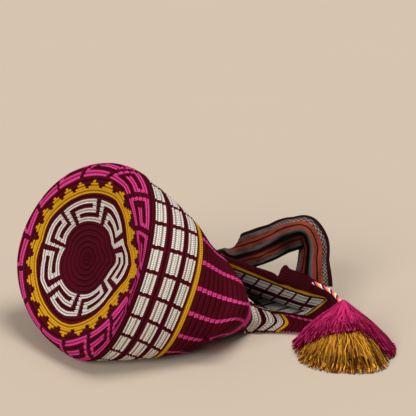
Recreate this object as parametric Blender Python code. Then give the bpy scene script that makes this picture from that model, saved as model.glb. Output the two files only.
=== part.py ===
"""Crocheted bucket shoulder bag lying on its side.

Dimensions are named in centimetres and turned into metres when a mesh is made.
+X runs from the base to the mouth, -Y is the near side, +Z is up, the ground is z = 0.
"""
import bpy
import numpy as np

CM = 0.01
SHIFT = np.array([-13.284, -5.507, 0.0])

# crochet
BLOCKS = 24
ROUND = 0.315
RIB = 2 * ROUND
RIB_HEIGHT = 0.035
FABRIC = 0.40
WALL_LENGTH = 25.2

# base
BASE_CENTRE = np.array([0.0, 0.0, 12.0])
BASE_YAW, BASE_LEAN, BASE_WIDEN = 24.0, 23.5, 1.1
BASE_RADIUS = 9.4
BASE_DISH = [(0.0, -0.50), (4.0, -0.46), (7.1, 0.28), (9.4, 0.79)]
BAND = 3.6

# strap
STRAP_WIDTH = 5.5
STRAP_THICK = 0.22

# drawstring and tassel
CORD = 0.50
CLEARANCE = 0.03
TASSEL_AXIS = np.array([29.9, -11.0])
TASSEL_HEAD = 0.77
TASSEL_NECK = TASSEL_HEAD + CLEARANCE
YARN_LAYER = 0.35
YARN_REST = 0.03
PINK_HEIGHT, GOLD_HEIGHT = 5.5, 5.12
SKIRT_FALL = 1.33
STRANDS = 26
STRAND_RIDGE = 0.07
# barrel of the head: height above the ground, share of its radius
HEAD_RINGS = [(4.60, 0.65), (4.70, 1.0), (5.20, 1.0), (5.60, 1.0), (5.80, 0.86), (5.92, 0.52)]

# ends of the two yarn layers: direction in degrees, reach to the ground, share of it that hangs
GOLD_ENDS = [(0, 4.6, 1.0), (60, 4.2, 1.0), (80, 4.0, 0.75), (108, 4.0, 0.70), (125, 4.2, 0.95),
             (140, 4.4, 1.0), (165, 4.6, 1.0), (180, 5.6, 1.0), (195, 6.6, 1.0),
             (212, 7.0, 1.0), (250, 6.9, 1.0), (277, 7.5, 1.0), (291, 7.3, 1.0), (307, 5.8, 1.0),
             (330, 5.0, 1.0)]
PINK_ENDS = [(0, 6.2, 1.0), (13, 6.0, 1.0), (60, 5.6, 0.95), (80, 5.2, 0.62), (108, 5.0, 0.55),
             (125, 5.4, 0.70), (140, 5.8, 0.95), (150, 6.0, 1.0), (172, 6.0, 1.0),
             (185, 7.1, 0.80), (200, 8.1, 0.58), (215, 8.3, 0.48), (250, 8.3, 0.42),
             (280, 8.9, 0.40), (297, 8.2, 0.60), (307, 7.1, 0.95), (320, 6.7, 1.0), (340, 6.6, 1.0)]

# wall station, centre x, centre y, yaw, lean, near half width, half height, squareness,
# far half width, far shift, far drop, column offset, crowding of the near columns
BODY_RINGS = [
    (0.0, 2.6, -1.0, 4.0, 22.0, 9.6, 12.05, 2.15, 13.4, -5.5, 0.0, 1.10, 0.50),
    (0.95, 3.4, -1.5, 2.0, 21.5, 9.2, 11.8, 2.15, 13.8, -5.0, 0.0, 1.10, 0.45),
    (3.5, 6.4, -2.6, 2.0, 21.7, 8.1, 10.45, 2.3, 15.2, -4.0, 1.0, 1.05, 0.05),
    (6.3, 9.1, -3.4, 3.0, 22.0, 7.0, 9.15, 2.4, 16.0, -3.0, 2.0, 0.85, -0.45),
    (10.0, 11.4, -2.2, 16.0, 22.0, 8.2, 7.5, 2.1, 14.0, -1.0, 2.0, 0.55, -0.80),
    (13.9, 13.2, -0.1, 30.0, 22.0, 10.0, 5.9, 1.75, 12.0, 1.0, 2.0, 0.42, -0.45),
]

# mouth: wall station, then (block, x, y, z) round it
MOUTH_RINGS = [
    (15.0, [(-11.7, 18.6, 6.4, 3.3), (-9.5, 22.0, 4.2, 2.2), (-7.5, 24.0, 3.4, 1.3),
            (-5.5, 26.8, 0.8, 0.7), (-4.5, 28.2, -0.7, 0.4), (-3.5, 26.4, -2.1, 0.25),
            (-2.0, 20.6, -3.2, 0.2), (-1.0, 19.6, -4.6, 0.9), (-0.5, 20.4, -5.1, 2.6),
            (0.0, 19.9, -4.8, 4.9), (1.2, 18.7, -4.5, 6.6), (3.0, 18.0, -3.4, 8.4),
            (6.0, 15.8, 0.8, 9.6), (9.0, 15.6, 5.2, 7.8)]),
    (17.3, [(-11.7, 18.8, 5.5, 4.9), (-9.5, 22.1, 2.8, 3.6), (-7.5, 24.8, 1.4, 2.5),
            (-5.5, 28.0, -0.3, 1.4), (-4.5, 29.6, -1.3, 0.9), (-3.5, 29.6, -2.4, 0.5),
            (-2.0, 23.6, -2.8, 0.2), (-1.0, 21.5, -4.3, 0.4), (-0.5, 23.0, -4.6, 1.7),
            (0.0, 22.3, -4.2, 3.3), (0.5, 21.2, -3.7, 3.6),
            (1.2, 19.2, -3.2, 4.0), (3.0, 16.6, -2.6, 7.2),
            (6.0, 14.4, 1.0, 8.6), (9.0, 14.8, 5.2, 7.0)]),
    (20.5, [(-11.7, 19.9, 4.2, 6.8), (-9.5, 23.3, 2.0, 5.6), (-7.5, 26.4, 0.5, 4.4),
            (-5.5, 29.3, -1.2, 3.4), (-3.5, 31.8, -3.6, 2.8), (-2.0, 27.6, -3.2, 0.4),
            (-1.0, 23.8, -5.0, 0.3), (-0.5, 24.9, -5.4, 1.5), (0.0, 24.1, -4.8, 2.9),
            (1.2, 20.2, -3.0, 2.6), (3.0, 14.0, -2.0, 7.2), (6.0, 11.8, 1.0, 9.0),
            (9.0, 13.6, 5.0, 7.8)]),
    (23.0, [(-11.7, 20.0, 5.2, 7.0), (-9.5, 23.5, 2.6, 6.0), (-8.0, 25.3, 1.2, 5.5),
            (-7.35, 26.4, 0.5, 5.1), (-7.15, 27.0, 0.5, 5.4), (-6.3, 28.3, -0.3, 4.9),
            (-5.5, 29.7, -0.8, 4.4), (-5.0, 30.3, -1.7, 4.1), (-4.4, 31.3, -3.0, 3.7),
            (-3.5, 31.7, -4.9, 2.9), (-2.0, 29.6, -4.6, 0.6), (-1.0, 26.4, -6.2, 0.3),
            (-0.5, 27.1, -6.7, 1.2), (0.0, 27.0, -6.5, 2.2), (0.5, 26.0, -5.9, 2.8),
            (1.2, 21.0, -2.6, 1.7),
            (3.0, 12.2, -2.0, 7.0), (6.0, 9.6, 1.0, 9.0), (9.0, 12.4, 5.2, 7.8)]),
    (25.2, [(-11.7, 20.2, 6.2, 5.8), (-9.5, 24.7, 3.7, 4.9), (-8.0, 26.1, 1.8, 4.9),
            (-7.35, 26.7, 0.8, 5.1), (-7.2, 27.4, 1.3, 6.2), (-6.9, 27.9, 0.8, 6.0),
            (-6.3, 28.7, 0.3, 5.75),
            (-5.5, 30.0, -0.4, 5.3), (-5.0, 30.7, -1.3, 4.7), (-4.4, 31.5, -2.8, 4.0),
            (-3.5, 32.6, -4.6, 3.0), (-2.0, 31.0, -6.2, 0.8), (-1.0, 28.3, -7.4, 0.3),
            (-0.5, 28.9, -7.9, 1.2), (0.0, 28.8, -7.6, 2.1), (0.5, 27.8, -7.1, 2.7),
            (1.2, 22.0, -2.6, 1.4),
            (3.0, 10.6, -2.2, 6.8), (6.0, 7.6, 1.0, 9.0), (9.0, 11.0, 5.4, 7.8)]),
]

# strap centre line: x, y, z, then the direction across the band, then the depth of its crease
STRAP_LINE = [
    (30.64, -0.68, 3.9, 0.72, -0.66, -0.20, 0.6),
    (30.84, -0.08, 7.0, 0.80, -0.60, 0.00, 1.7),
    (31.1, 0.6, 9.4, 0.85, -0.50, 0.15, 1.8),
    (30.3, 1.2, 11.1, 0.60, -0.05, 0.80, 1.9),
    (28.6, 2.6, 10.5, 0.20, 0.70, 0.68, 1.2),
    (26.7, 5.6, 8.2, 0.10, 0.85, 0.50, 0.5),
    (25.5, 8.8, 6.3, 0.10, 0.82, 0.56, 0.5),
    (24.6, 11.2, 4.9, 0.15, 0.80, 0.55, 0.8),
    (23.8, 13.0, 4.0, 0.45, 0.80, 0.00, 2.0),
    (22.2, 15.0, 3.5, 0.48, 0.85, -0.15, 0.8),
    (19.6, 17.0, 3.1, 0.40, 0.80, 0.40, 0.3),
    (15.4, 19.3, 2.95, 0.00, 0.00, 1.00, 0.0),
    (9.0, 21.4, 2.90, 0.00, 0.00, 1.00, 0.0),
    (3.4, 21.0, 2.90, 0.00, 0.00, 1.00, 0.0),
    (1.8, 18.8, 2.90, 0.00, 0.00, 1.00, 0.0),
    (4.6, 16.8, 2.90, 0.00, 0.00, 1.00, 0.0),
    (11.0, 15.4, 2.95, 0.00, 0.00, 1.00, 0.0),
    (15.4, 11.6, 3.2, 0.00, 0.05, 1.00, 0.0),
    (18.0, 8.4, 3.9, 0.00, 0.05, 1.00, 0.0),
    (20.6, 6.45, 4.5, 0.00, 0.00, 1.00, 0.0),
]

# drawstring centre line from the rim to the tassel
CORD_LINE = [
    (30.20, -1.90, 4.92), (30.45, -4.0, 5.15), (30.6, -6.0, 5.4), (30.4, -8.0, 5.6), (29.98, -10.20, 5.72),
]


def unit(yaw, lean):
    yaw, lean = np.radians(yaw), np.radians(lean)
    side = np.array([np.sin(yaw), -np.cos(yaw), 0.0])
    ahead = np.array([np.cos(yaw), np.sin(yaw), 0.0])
    return side, ahead, np.array([0.0, 0.0, np.cos(lean)]) + ahead * np.sin(lean)


def hermite(x, y, t):
    """smooth curve through the rows of y at the stations x"""
    x, y, t = np.asarray(x, float), np.asarray(y, float), np.asarray(t, float)
    h = np.diff(x)
    d = np.diff(y, axis=0) / h[:, None]
    m = np.empty_like(y)
    m[1:-1] = (d[:-1] * h[1:, None] + d[1:] * h[:-1, None]) / (h[:-1] + h[1:])[:, None]
    m[0], m[-1] = d[0], d[-1]
    t = np.clip(t, x[0], x[-1])
    i = np.clip(np.searchsorted(x, t, side="right") - 1, 0, len(x) - 2)
    u, hh = ((t - x[i]) / h[i])[:, None], h[i][:, None]
    return ((2 * u**3 - 3 * u**2 + 1) * y[i] + (u**3 - 2 * u**2 + u) * hh * m[i]
            + (3 * u**2 - 2 * u**3) * y[i + 1] + (u**3 - u**2) * hh * m[i + 1])


def body_ring(row, blocks):
    """one ring of the wall, stitches evenly spaced round it, resting on the ground"""
    cx, cy, yaw, lean, near, half, power, far, fx, fz, offset, crowd = row[1:]
    side, ahead, rise = unit(yaw, lean)
    centre = np.array([cx, cy, half * np.cos(np.radians(lean))])
    turn = np.linspace(0, 2 * np.pi, 721)
    co, si = np.cos(turn), np.sin(turn)
    pw = 2 / (power + (2.1 - power) * np.clip(-co, 0, 1))
    a = np.sign(co) * np.abs(co)**pw
    h = np.sign(si) * np.abs(si)**pw
    back = np.clip(-a, 0, 1)**2
    p = centre + np.outer(np.where(a > 0, near, far) * a, side) + np.outer(h * half, rise)
    p[:, 0] += back * fx
    p[:, 2] -= fz * back * np.clip(1 + h, 0, 1)
    run = np.concatenate([[0], np.cumsum(np.linalg.norm(np.diff(p, axis=0), axis=1))])
    blocks = np.asarray(blocks, float)
    blocks = blocks - crowd * np.sin((blocks + 1.0) / BLOCKS * 2 * np.pi)
    want = ((blocks + offset) / BLOCKS * run[-1]) % run[-1]
    return np.stack([np.interp(want, run, p[:, i]) for i in range(3)], 1)


def closed_curve(keys, blocks):
    k = np.array(keys, float)
    x = np.concatenate([k[-3:, 0] - BLOCKS, k[:, 0], k[:3, 0] + BLOCKS])
    y = np.concatenate([k[-3:, 1:], k[:, 1:], k[:3, 1:]])
    b = (np.asarray(blocks, float) - k[0, 0]) % BLOCKS + k[0, 0]
    return hermite(x, y, b)


def base_point(r, angle):
    side, ahead, rise = unit(BASE_YAW, BASE_LEAN)
    lean = np.radians(BASE_LEAN)
    out = np.array([0, 0, 1]) * np.sin(lean) - ahead * np.cos(lean)
    depth = np.interp(r, [a for a, _ in BASE_DISH], [b for _, b in BASE_DISH])
    flat = np.outer(BASE_WIDEN * np.cos(angle), side) + np.outer(np.sin(angle), rise)
    return BASE_CENTRE + r * flat + depth * out, out


def body_stations(blocks):
    """rows of points: (station, ring); the base is at negative stations"""
    blocks = np.asarray(blocks, float)
    rings = [(row[0], body_ring(row, blocks)) for row in BODY_RINGS]
    rings += [(s, closed_curve(keys, blocks)) for s, keys in MOUTH_RINGS]
    stations = np.array([s for s, _ in rings])
    wall = np.array([p for _, p in rings])
    angle = (blocks + 1.1) / BLOCKS * 2 * np.pi
    edge, out = base_point(BASE_RADIUS, angle)
    inner, _ = base_point(BASE_RADIUS - 0.3, angle)
    return stations, wall, angle, edge, (edge - inner) / 0.3


def body_point(s, blocks, cache):
    """ring at station s: 0 and up on the wall, -BAND to 0 over the edge, less is the base"""
    stations, wall, angle, edge, edge_dir = cache
    n = len(blocks)
    if s >= 0:
        return hermite(stations, wall.reshape(len(stations), -1), [s]).reshape(n, 3)
    if s >= -BAND:
        u = (s + BAND) / BAND
        first = wall[0]
        step = (wall[1] - wall[0]) / (stations[1] - stations[0])
        step /= np.maximum(np.linalg.norm(step, axis=1, keepdims=True), 1e-6)
        chord = np.linalg.norm(first - edge, axis=1, keepdims=True)
        pull = (1.25 - 0.40 * np.maximum(np.cos(angle), 0.0)[:, None]) * chord
        return ((2 * u**3 - 3 * u**2 + 1) * edge + (u**3 - 2 * u**2 + u) * pull * edge_dir
                + (3 * u**2 - 2 * u**3) * first + (u**3 - u**2) * pull * step)
    r = BASE_RADIUS + (s + BAND)
    return base_point(max(r, 0.0), angle)[0]


def grid_normals(p):
    du = np.roll(p, -1, 1) - np.roll(p, 1, 1)
    dv = np.gradient(p, axis=0)
    n = np.cross(dv, du)
    return n / np.maximum(np.linalg.norm(n, axis=2, keepdims=True), 1e-9)


def outward(verts, faces):
    """the faces turned so that the body's volume is positive"""
    v = np.array([np.asarray(p, float) for p in verts])
    volume = 0.0
    for face in faces:
        for i in range(1, len(face) - 1):
            volume += np.dot(v[face[0]], np.cross(v[face[i]], v[face[i + 1]]))
    return faces if volume > 0 else [tuple(reversed(face)) for face in faces]


def make_mesh(name, verts, faces, colour, roughness, collection, smooth=True):
    faces = outward(verts, faces)
    mesh = bpy.data.meshes.new(name)
    mesh.from_pydata([tuple(float(c) for c in (v + SHIFT) * CM) for v in verts], [], faces)
    mesh.validate()
    mesh.update()
    obj = bpy.data.objects.new(name, mesh)
    collection.objects.link(obj)
    material = bpy.data.materials.new(name + "_material")
    material.use_nodes = True
    shader = material.node_tree.nodes["Principled BSDF"]
    shader.inputs["Base Color"].default_value = (*colour, 1.0)
    shader.inputs["Roughness"].default_value = roughness
    shader.inputs["Metallic"].default_value = 0.0
    material.diffuse_color = (*colour, 1.0)
    mesh.materials.append(material)
    if smooth:
        mesh.shade_smooth()
    return obj


def closed_loft(rings, cap_first, cap_last, joined=False):
    """faces over equal rings; a cap is a point after the rings, joined closes the last to the first"""
    rows, n = len(rings), len(rings[0])
    verts = [v for ring in rings for v in ring]
    faces = []
    for i in range(rows - 1):
        for j in range(n):
            k = (j + 1) % n
            faces.append((i * n + j, i * n + k, (i + 1) * n + k, (i + 1) * n + j))
    if joined:
        for j in range(n):
            k = (j + 1) % n
            faces.append(((rows - 1) * n + j, (rows - 1) * n + k, k, j))
    if cap_first is not None:
        verts.append(cap_first)
        c = len(verts) - 1
        faces += [(c, (j + 1) % n, j) for j in range(n)]
    if cap_last is not None:
        verts.append(cap_last)
        c = len(verts) - 1
        o = (rows - 1) * n
        faces += [(c, o + j, o + (j + 1) % n) for j in range(n)]
    return verts, faces


def crocheted_body(collection):
    """outer skin with its crochet ribs, turned in at the rim to a plain inner skin"""
    blocks = np.concatenate([np.arange(-2.5, 1.5, 0.25), np.linspace(1.5, BLOCKS - 2.5, 27)[:-1]])
    cache = body_stations(blocks)
    outer_s = np.concatenate([
        np.arange(-BAND - BASE_RADIUS + RIB, -BAND - 0.1, RIB),
        np.linspace(-BAND, 0, 7)[:-1],
        np.arange(0, WALL_LENGTH + 0.01, ROUND)])
    outer = np.array([body_point(s, blocks, cache) for s in outer_s])
    normal = grid_normals(outer)
    rib = np.where(outer_s >= 0, np.where(np.round(outer_s / ROUND).astype(int) % 2, 1, -1), 0)
    outer_skin = outer + normal * (rib * RIB_HEIGHT / 2)[:, None, None]
    outer_skin[..., 2] = np.maximum(outer_skin[..., 2], 0.0)

    inner_s = np.concatenate([np.linspace(WALL_LENGTH, 13.5, 14), np.linspace(12.0, 0.0, 8),
                              np.linspace(-1.2, -BAND, 3),
                              np.linspace(-BAND - 1.5, -BAND - BASE_RADIUS + 0.9, 5)])
    plain = np.array([body_point(s, blocks, cache) for s in inner_s[::-1]])
    inner = (plain - grid_normals(plain) * FABRIC)[::-1]
    inner[..., 2] = np.maximum(inner[..., 2], FABRIC)
    lip = (outer_skin[-1] + inner[0]) / 2 + (outer[-1] - outer[-2]) * 0.35
    lip[:, 2] = np.maximum(lip[:, 2], 0.05)
    middle, out = base_point(0.0, np.array([0.0]))
    rings = [r for r in outer_skin] + [lip] + [r for r in inner]
    verts, faces = closed_loft(rings, middle[0], middle[0] - out * FABRIC)
    return make_mesh("crocheted_body", verts, faces, (0.069, 0.005, 0.013), 0.9, collection)


def shoulder_strap(collection):
    line = np.array(STRAP_LINE)
    run = np.concatenate([[0], np.cumsum(np.linalg.norm(np.diff(line[:, :3], axis=0), axis=1))])
    t = np.linspace(0, run[-1], 90)
    smooth = hermite(run, line, t)
    centre, across, crease = smooth[:, :3], smooth[:, 3:6], smooth[:, 6]
    along = np.gradient(centre, axis=0)
    along /= np.linalg.norm(along, axis=1, keepdims=True)
    across -= along * np.sum(across * along, axis=1, keepdims=True)
    across /= np.linalg.norm(across, axis=1, keepdims=True)
    face = np.cross(across, along)
    half = STRAP_WIDTH / 2
    flank = np.sqrt(half**2 - crease**2)
    places = np.linspace(-1, 1, 7)
    rings = []
    for i in range(len(t)):
        bend = crease[i] * (0.5 - np.sqrt(places**2 + 0.02) + 0.1)
        mid = centre[i] + np.outer(places * flank[i], across[i]) + np.outer(bend, face[i])
        up = mid + face[i] * STRAP_THICK / 2
        low = mid - face[i] * STRAP_THICK / 2
        ring = np.concatenate([up, low[::-1]])
        ring[:, 2] = np.maximum(ring[:, 2], 0.02)
        rings.append(ring)
    verts, faces = closed_loft(rings, None, None)
    n = 14
    last = (len(rings) - 1) * n
    for j in range(6):
        faces.append((j + 1, j, 13 - j, 12 - j))
        faces.append((last + j, last + j + 1, last + 12 - j, last + 13 - j))
    return make_mesh("shoulder_strap", verts, faces, (0.20, 0.045, 0.030), 0.85, collection), run[-1]


def tassel_layer(name, ends, height, colour, collection):
    """a skirt of yarn falling from the tassel's neck to the outline of its ends"""
    turns = np.linspace(0, 360, STRANDS * 2 + 1)[:-1]
    comb = np.where(np.arange(len(turns)) % 2, 1.0, -1.0)
    table = np.array(ends, float)
    reach = np.interp(turns, table[:, 0], table[:, 1], period=360)
    stop = np.interp(turns, table[:, 0], table[:, 2], period=360)
    out = np.stack([np.cos(np.radians(turns)), np.sin(np.radians(turns))], 1)
    top, under = [], []
    for f in np.linspace(0.0, 1.0, 9):
        r = TASSEL_NECK + (reach * stop - TASSEL_NECK) * f
        xy = TASSEL_AXIS + r[:, None] * out
        z = YARN_REST + height * (1 - (r / reach)**SKIRT_FALL)
        top.append(np.column_stack([xy, z + YARN_LAYER + STRAND_RIDGE * comb * f]))
        under.append(np.column_stack([xy, z]))
    verts, faces = closed_loft(top + under[::-1], None, None, joined=True)
    return make_mesh(name, verts, faces, colour, 0.8, collection)


def cord(name, points, diameter, colour, collection):
    pts = np.array(points, float)
    run = np.concatenate([[0], np.cumsum(np.linalg.norm(np.diff(pts, axis=0), axis=1))])
    route = hermite(run, pts, np.linspace(0, run[-1], 10))
    curve = bpy.data.curves.new(name, "CURVE")
    curve.dimensions = "3D"
    curve.bevel_depth = diameter / 2 * CM
    curve.bevel_resolution = 3
    curve.use_fill_caps = True
    spline = curve.splines.new("POLY")
    spline.points.add(len(route) - 1)
    for point, place in zip(spline.points, route):
        place = (place + SHIFT) * CM
        point.co = (*[float(c) for c in place], 1.0)
    obj = bpy.data.objects.new(name, curve)
    collection.objects.link(obj)
    material = bpy.data.materials.new(name + "_material")
    material.use_nodes = True
    shader = material.node_tree.nodes["Principled BSDF"]
    shader.inputs["Base Color"].default_value = (*colour, 1.0)
    shader.inputs["Roughness"].default_value = 0.8
    shader.inputs["Metallic"].default_value = 0.0
    material.diffuse_color = (*colour, 1.0)
    curve.materials.append(material)
    return obj


def tassel_head(collection):
    """bound head of the tassel, a short barrel held in the neck of the yarn"""
    turns = np.linspace(0, 2 * np.pi, 21)[:-1]
    rings = []
    for z, share in HEAD_RINGS:
        r = TASSEL_HEAD * share
        rings.append(np.stack([TASSEL_AXIS[0] + r * np.cos(turns), TASSEL_AXIS[1] + r * np.sin(turns),
                               np.full(len(turns), z)], 1))
    low = np.array([*TASSEL_AXIS, HEAD_RINGS[0][0] - CLEARANCE])
    high = np.array([*TASSEL_AXIS, HEAD_RINGS[-1][0] + CLEARANCE])
    verts, faces = closed_loft(rings, low, high)
    return make_mesh("tassel_head", verts, faces, (0.60, 0.05, 0.20), 0.8, collection)


def main():
    for obj in list(bpy.data.objects):
        bpy.data.objects.remove(obj, do_unlink=True)
    collection = bpy.data.collections.new("crocheted_bucket_bag")
    bpy.context.scene.collection.children.link(collection)
    crocheted_body(collection)
    shoulder_strap(collection)
    cord("drawstring", CORD_LINE, CORD, (0.60, 0.30, 0.20), collection)
    tassel_head(collection)
    tassel_layer("tassel_gold", GOLD_ENDS, GOLD_HEIGHT, (0.42, 0.19, 0.01), collection)
    tassel_layer("tassel_pink", PINK_ENDS, PINK_HEIGHT, (0.66, 0.03, 0.24), collection)


main()
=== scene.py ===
import math
import bpy
import numpy as np
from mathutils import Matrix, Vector


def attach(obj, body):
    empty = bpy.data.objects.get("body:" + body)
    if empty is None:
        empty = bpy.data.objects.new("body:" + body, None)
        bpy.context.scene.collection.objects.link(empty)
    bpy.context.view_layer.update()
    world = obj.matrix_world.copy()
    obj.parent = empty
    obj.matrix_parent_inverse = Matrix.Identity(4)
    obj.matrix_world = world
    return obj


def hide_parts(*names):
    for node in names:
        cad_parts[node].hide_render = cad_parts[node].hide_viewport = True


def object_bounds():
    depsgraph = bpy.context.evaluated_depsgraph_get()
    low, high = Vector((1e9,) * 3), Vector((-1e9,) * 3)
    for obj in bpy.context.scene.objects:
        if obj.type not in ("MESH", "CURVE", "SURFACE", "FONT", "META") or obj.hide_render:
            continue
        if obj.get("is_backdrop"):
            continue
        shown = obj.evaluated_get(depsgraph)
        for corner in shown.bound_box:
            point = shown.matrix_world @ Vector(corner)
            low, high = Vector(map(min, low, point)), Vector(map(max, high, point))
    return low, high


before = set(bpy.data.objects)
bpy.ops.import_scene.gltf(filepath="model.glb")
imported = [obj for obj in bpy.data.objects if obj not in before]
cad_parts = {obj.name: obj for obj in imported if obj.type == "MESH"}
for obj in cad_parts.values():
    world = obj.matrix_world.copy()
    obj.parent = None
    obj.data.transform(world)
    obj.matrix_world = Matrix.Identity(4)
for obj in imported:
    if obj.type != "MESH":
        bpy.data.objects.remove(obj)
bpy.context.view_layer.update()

# lengths are centimetres in a working frame, where x runs from the base to the mouth, the near
# side is towards -y and the ground is z = 0
CM = 0.01
SHIFT = np.array([-13.284, -5.507, 0.0])


def row(point):
    """working centimetres to metres in the row frame"""
    return (np.asarray(point, float) + SHIFT) * CM


# camera of the photograph: sensor and focal length in millimetres, farthest view in metres
AZIMUTH, ELEVATION = math.radians(-20.0), math.radians(20.0)
SENSOR_WIDTH, FOCAL_LENGTH, FARTHEST = 36.0, 92.25, 60.0
CAMERA_PLACE = (-26.858, -118.005, 62.192)
BACK = Vector((math.sin(AZIMUTH) * math.cos(ELEVATION),
               -math.cos(AZIMUTH) * math.cos(ELEVATION), math.sin(ELEVATION)))
camera_data = bpy.data.cameras.new("photo_camera")
camera_data.sensor_width = SENSOR_WIDTH
camera_data.lens = FOCAL_LENGTH
camera_data.clip_end = FARTHEST
camera = bpy.data.objects.new("photo_camera", camera_data)
bpy.context.scene.collection.objects.link(camera)
camera.location = row(CAMERA_PLACE)
camera.rotation_mode = "QUATERNION"
camera.rotation_quaternion = (-BACK).to_track_quat("-Z", "Y")
bpy.context.scene.camera = camera

# yarn colours, linear
MAROON = (0.105, 0.0030, 0.0110)
CREAM = (0.95, 0.86, 0.75)
PINK = (0.88, 0.058, 0.30)
GOLD = (0.86, 0.410, 0.010)

# crochet: pattern columns round the bag, height of a round, thickness, length of the wall
BLOCKS = 24
ROUND = 0.315
FABRIC = 0.40
WALL_LENGTH = 25.2

# base: its centre, turn, lean and widening, the radius of its flat part, the dish in it as
# (radius, depth), the columns by which its pattern leads, and the length over the rounded edge
BASE_CENTRE = np.array([0.0, 0.0, 12.0])
BASE_YAW, BASE_LEAN, BASE_WIDEN = 24.0, 23.5, 1.1
BASE_RADIUS = 9.4
BASE_DISH = [(0.0, -0.50), (4.0, -0.46), (7.1, 0.28), (9.4, 0.79)]
BASE_LEAD = 1.1
BAND = 3.6

# how full the edge is, and how much less at its near side; the step that gives its direction
EDGE_FULL, EDGE_NEAR = 1.25, 0.40
EDGE_STEP = 0.3

# rings of the wall: points round one, and the squareness of their far side
RING_POINTS = 721
FAR_SQUARENESS = 2.1

# strap
STRAP_WIDTH = 5.5
STRAP_THICK = 0.22

# drawstring; tassel: place, thickness of a layer, height over the ground, heights of the layers
# at the head, and how soon a layer falls
CORD = 0.50
TASSEL_AXIS = np.array([29.9, -11.0])
YARN_LAYER = 0.35
YARN_REST = 0.03
PINK_HEIGHT, GOLD_HEIGHT = 5.5, 5.12
SKIRT_FALL = 1.33

# ends of the two yarn layers: direction in degrees, reach to the ground, share of it that hangs
GOLD_ENDS = [(0, 4.6, 1.0), (60, 4.2, 1.0), (80, 4.0, 0.75), (108, 4.0, 0.70), (125, 4.2, 0.95),
             (140, 4.4, 1.0), (165, 4.6, 1.0), (180, 5.6, 1.0), (195, 6.6, 1.0),
             (212, 7.0, 1.0), (250, 6.9, 1.0), (277, 7.5, 1.0), (291, 7.3, 1.0), (307, 5.8, 1.0),
             (330, 5.0, 1.0)]
PINK_ENDS = [(0, 6.2, 1.0), (13, 6.0, 1.0), (60, 5.6, 0.95), (80, 5.2, 0.62), (108, 5.0, 0.55),
             (125, 5.4, 0.70), (140, 5.8, 0.95), (150, 6.0, 1.0), (172, 6.0, 1.0),
             (185, 7.1, 0.80), (200, 8.1, 0.58), (215, 8.3, 0.48), (250, 8.3, 0.42),
             (280, 8.9, 0.40), (297, 8.2, 0.60), (307, 7.1, 0.95), (320, 6.7, 1.0), (340, 6.6, 1.0)]

# wall station, centre x, centre y, yaw, lean, near half width, half height, squareness,
# far half width, far shift, far drop, column offset, crowding of the near columns
BODY_RINGS = [
    (0.0, 2.6, -1.0, 4.0, 22.0, 9.6, 12.05, 2.15, 13.4, -5.5, 0.0, 1.10, 0.50),
    (0.95, 3.4, -1.5, 2.0, 21.5, 9.2, 11.8, 2.15, 13.8, -5.0, 0.0, 1.10, 0.45),
    (3.5, 6.4, -2.6, 2.0, 21.7, 8.1, 10.45, 2.3, 15.2, -4.0, 1.0, 1.05, 0.05),
    (6.3, 9.1, -3.4, 3.0, 22.0, 7.0, 9.15, 2.4, 16.0, -3.0, 2.0, 0.85, -0.45),
    (10.0, 11.4, -2.2, 16.0, 22.0, 8.2, 7.5, 2.1, 14.0, -1.0, 2.0, 0.55, -0.80),
    (13.9, 13.2, -0.1, 30.0, 22.0, 10.0, 5.9, 1.75, 12.0, 1.0, 2.0, 0.42, -0.45),
]

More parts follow.
